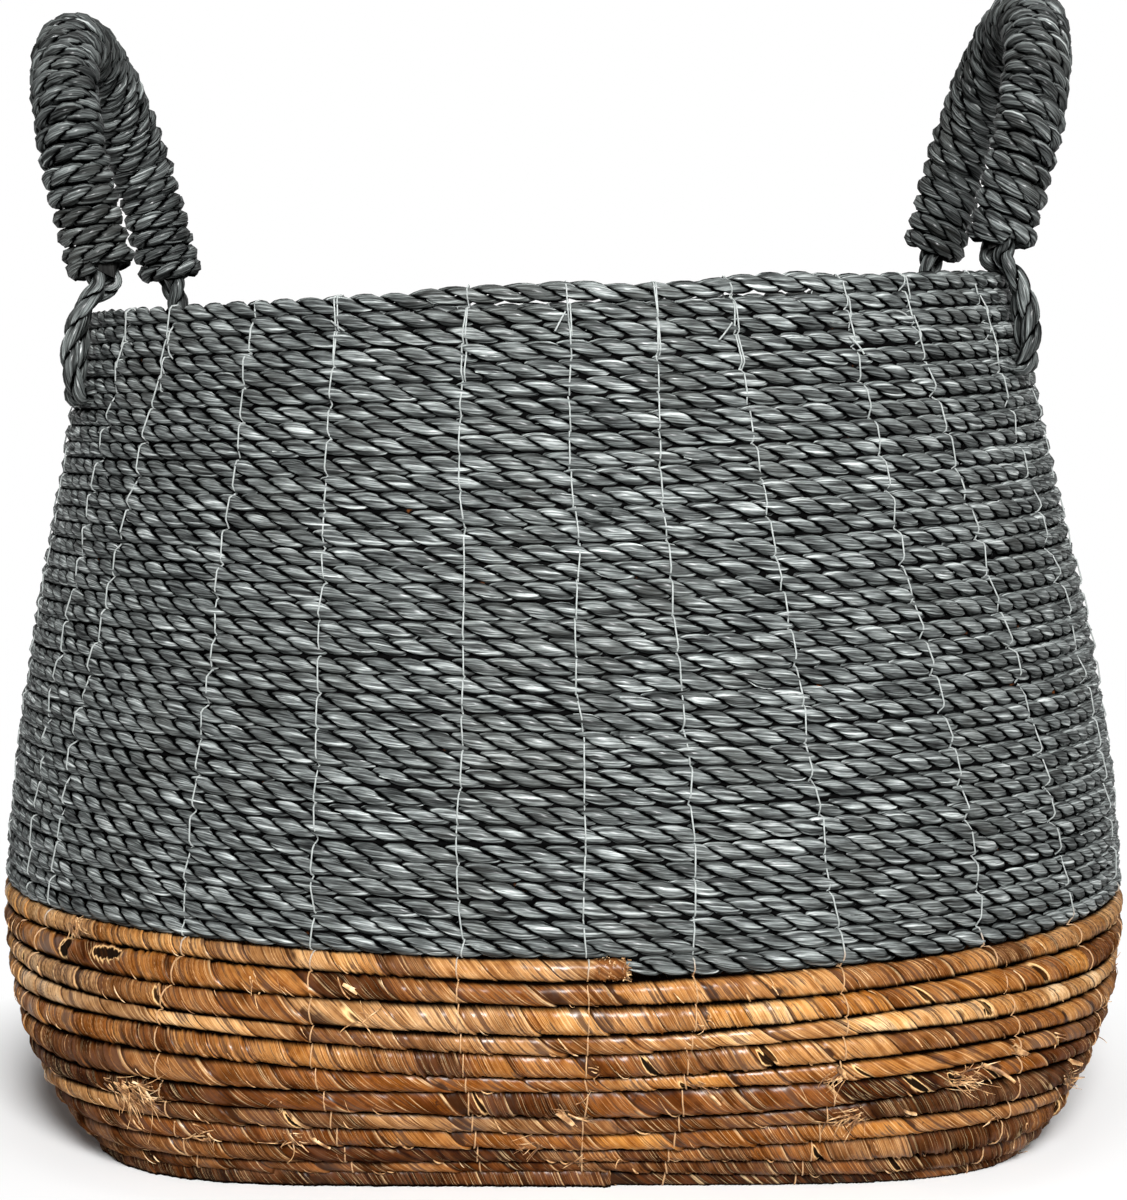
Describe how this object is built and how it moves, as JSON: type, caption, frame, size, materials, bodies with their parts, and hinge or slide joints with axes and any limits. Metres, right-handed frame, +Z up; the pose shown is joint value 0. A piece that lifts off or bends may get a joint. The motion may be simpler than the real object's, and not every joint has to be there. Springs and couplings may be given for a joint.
{
  "type": "rope storage basket",
  "caption": "Round coiled rope storage basket with a full belly, an open top and an arched rope-wound handle on each side.",
  "frame": {"origin": "centre of the base, on the floor", "axes": "+Z up; +X towards the right handle seen from the front; the front looks along -Y"},
  "size_m": [0.451, 0.4522, 0.4455],
  "materials": {
    "grey_rope": "twisted plant fibre, slate grey, slightly satin",
    "bark_rope": "rope wrapped in strips of dried bark, tan to dark brown",
    "stitch_thread": "light grey nylon thread",
    "core_rope": "plain rope, hidden inside the handle"
  },
  "bodies": {
    "basket": {"base_coil": "bark_rope", "bark_rope_wall": "bark_rope", "grey_rope_wall": "grey_rope", "stitch_thread_01": "stitch_thread", "stitch_thread_02": "stitch_thread", "stitch_thread_03": "stitch_thread", "stitch_thread_04": "stitch_thread", "stitch_thread_05": "stitch_thread", "stitch_thread_06": "stitch_thread", "stitch_thread_07": "stitch_thread", "stitch_thread_08": "stitch_thread", "stitch_thread_09": "stitch_thread", "stitch_thread_10": "stitch_thread", "stitch_thread_11": "stitch_thread", "stitch_thread_12": "stitch_thread", "stitch_thread_13": "stitch_thread", "stitch_thread_14": "stitch_thread", "stitch_thread_15": "stitch_thread", "stitch_thread_16": "stitch_thread", "stitch_thread_17": "stitch_thread", "stitch_thread_18": "stitch_thread", "stitch_thread_19": "stitch_thread", "stitch_thread_20": "stitch_thread", "stitch_thread_21": "stitch_thread", "stitch_thread_22": "stitch_thread", "stitch_thread_23": "stitch_thread", "stitch_thread_24": "stitch_thread", "stitch_thread_25": "stitch_thread", "stitch_thread_26": "stitch_thread", "stitch_thread_27": "stitch_thread", "stitch_thread_28": "stitch_thread", "left_front_root_rope_a": "grey_rope", "left_front_root_rope_b": "grey_rope", "left_back_root_rope_a": "grey_rope", "left_back_root_rope_b": "grey_rope", "right_front_root_rope_a": "grey_rope", "right_front_root_rope_b": "grey_rope", "right_back_root_rope_a": "grey_rope", "right_back_root_rope_b": "grey_rope"},
    "left_handle": {"left_handle_core": "core_rope", "left_handle_wrap": "grey_rope"},
    "right_handle": {"right_handle_core": "core_rope", "right_handle_wrap": "grey_rope"}
  },
  "joints": [
    {"name": "left_handle_tilt", "type": "hinge", "parent": "basket", "child": "left_handle", "pos_m": [-0.17125, 0, 0.32574], "axis": [-0.0748, -0.9972, 0], "range_deg": [-35, 25]},
    {"name": "right_handle_tilt", "type": "hinge", "parent": "basket", "child": "right_handle", "pos_m": [0.16125, 0, 0.33619], "axis": [-0.0748, 0.9972, 0], "range_deg": [-35, 25]}
  ]
}
